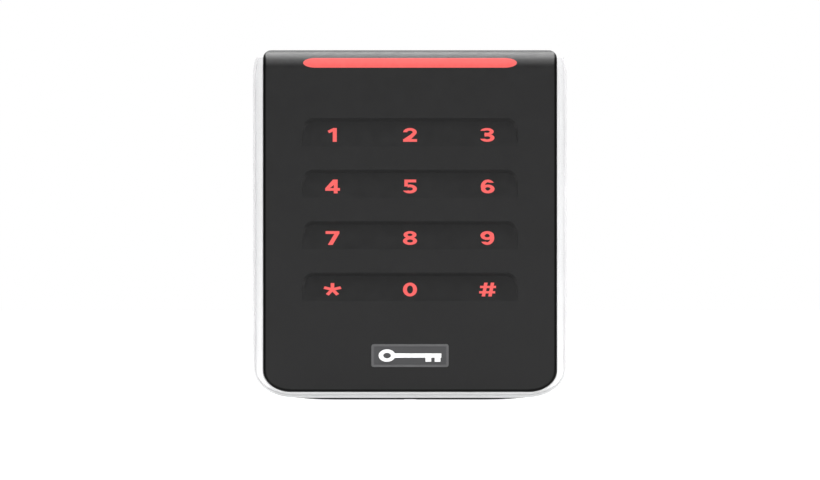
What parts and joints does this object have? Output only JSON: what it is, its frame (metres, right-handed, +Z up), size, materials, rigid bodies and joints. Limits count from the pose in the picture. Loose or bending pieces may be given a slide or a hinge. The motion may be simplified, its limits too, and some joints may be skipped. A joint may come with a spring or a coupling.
{
  "type": "keypad access reader",
  "caption": "Upright wall reader with a black rolled-over face, scooped touch keypad, lit bar, silver side trim and a wall plate it hangs and tilts on.",
  "frame": {"origin": "centre of the mounting plate's wall face", "axes": "+X right as seen from the front, +Y into the wall, +Z up; the keypad faces -Y"},
  "size_m": [0.1098, 0.0195, 0.1221],
  "materials": {
    "cover_black": "fine matt moulded texture",
    "housing_black": "matt moulded texture",
    "plate_black": "glass-filled, coarse matt",
    "trim_silver": "satin silver",
    "gasket_rubber": "soft matt",
    "steel": "zinc plated",
    "steel_dark": "black oxide",
    "light_red": "lit from behind",
    "badge_grey": "satin dark grey",
    "badge_white": "gloss white",
    "diffuser_white": "milky",
    "former_white": "satin",
    "led_white": "clear epoxy",
    "board_green": "solder mask",
    "copper": "enamelled copper",
    "pin_brass": "bright",
    "ferrite_grey": "matt ferrite",
    "chip_black": "matt epoxy",
    "shield_steel": "tin plated",
    "capacitor_tan": "ceramic",
    "connector_beige": "satin",
    "terminal_green": "satin",
    "plunger_white": "satin acetal"
  },
  "bodies": {
    "wall_plate": {"mounting_plate": "plate_black", "tab_insert": "pin_brass"},
    "reader": {"front_cover": "cover_black", "trim_bezel": "trim_silver", "rear_housing": "housing_black", "housing_gasket": "gasket_rubber", "housing_screws": "steel", "light_bar": "light_red", "badge_plate": "badge_grey", "badge_symbol": "badge_white", "key_legend_1": "light_red", "key_legend_2": "light_red", "key_legend_3": "light_red", "key_legend_4": "light_red", "key_legend_5": "light_red", "key_legend_6": "light_red", "key_legend_7": "light_red", "key_legend_8": "light_red", "key_legend_9": "light_red", "key_legend_star": "light_red", "key_legend_0": "light_red", "key_legend_hash": "light_red", "keypad_diffuser": "diffuser_white", "touch_pads": "copper", "keypad_leds": "led_white", "keypad_board": "board_green", "antenna_former": "former_white", "antenna_coil": "copper", "ferrite_sheet": "ferrite_grey", "main_board": "board_green", "board_screws": "steel", "status_leds": "led_white", "processor": "chip_black", "reader_chip": "chip_black", "secure_element": "chip_black", "bluetooth_module": "shield_steel", "crystal": "shield_steel", "capacitors": "capacitor_tan", "board_header": "connector_beige", "board_socket": "connector_beige", "power_inductor": "ferrite_grey", "buzzer": "chip_black", "terminal_header": "terminal_green", "header_pins": "pin_brass", "tamper_switch": "shield_steel", "tamper_spring": "steel"},
    "terminal_block": {"terminal_plug": "terminal_green", "terminal_screws": "steel", "terminal_clamps": "shield_steel"},
    "tamper": {"tamper_plunger": "plunger_white"},
    "washer": {"screw_washer": "steel"},
    "screw": {"security_screw": "steel_dark"}
  },
  "joints": [
    {"name": "reader_tilt", "type": "hinge", "parent": "wall_plate", "child": "reader", "pos_m": [0, -0.0038, 0.055], "axis": [-1, 0, 0], "range_deg": [0, 25]},
    {"name": "terminal_pull", "type": "slide", "parent": "reader", "child": "terminal_block", "axis": [0, 1, 0], "range_m": [0, 0.0065]},
    {"name": "tamper_press", "type": "slide", "parent": "reader", "child": "tamper", "axis": [0, 1, 0], "range_m": [0, 0.0015], "stiffness_N_per_m": 300, "springref_m": 0.0035, "deforming": ["tamper_spring"]},
    {"name": "screw_advance", "type": "slide", "parent": "reader", "child": "washer", "axis": [0, 0, 1], "range_m": [0, 0.004]},
    {"name": "screw_turn", "type": "hinge", "parent": "washer", "child": "screw", "pos_m": [0, -0.0048, -0.058], "axis": [0, 0, 1], "range_deg": [0, 2885]}
  ],
  "couplings": [
    {"joint": "screw_turn", "follows": "screw_advance", "rad_per_m": 12566}
  ]
}
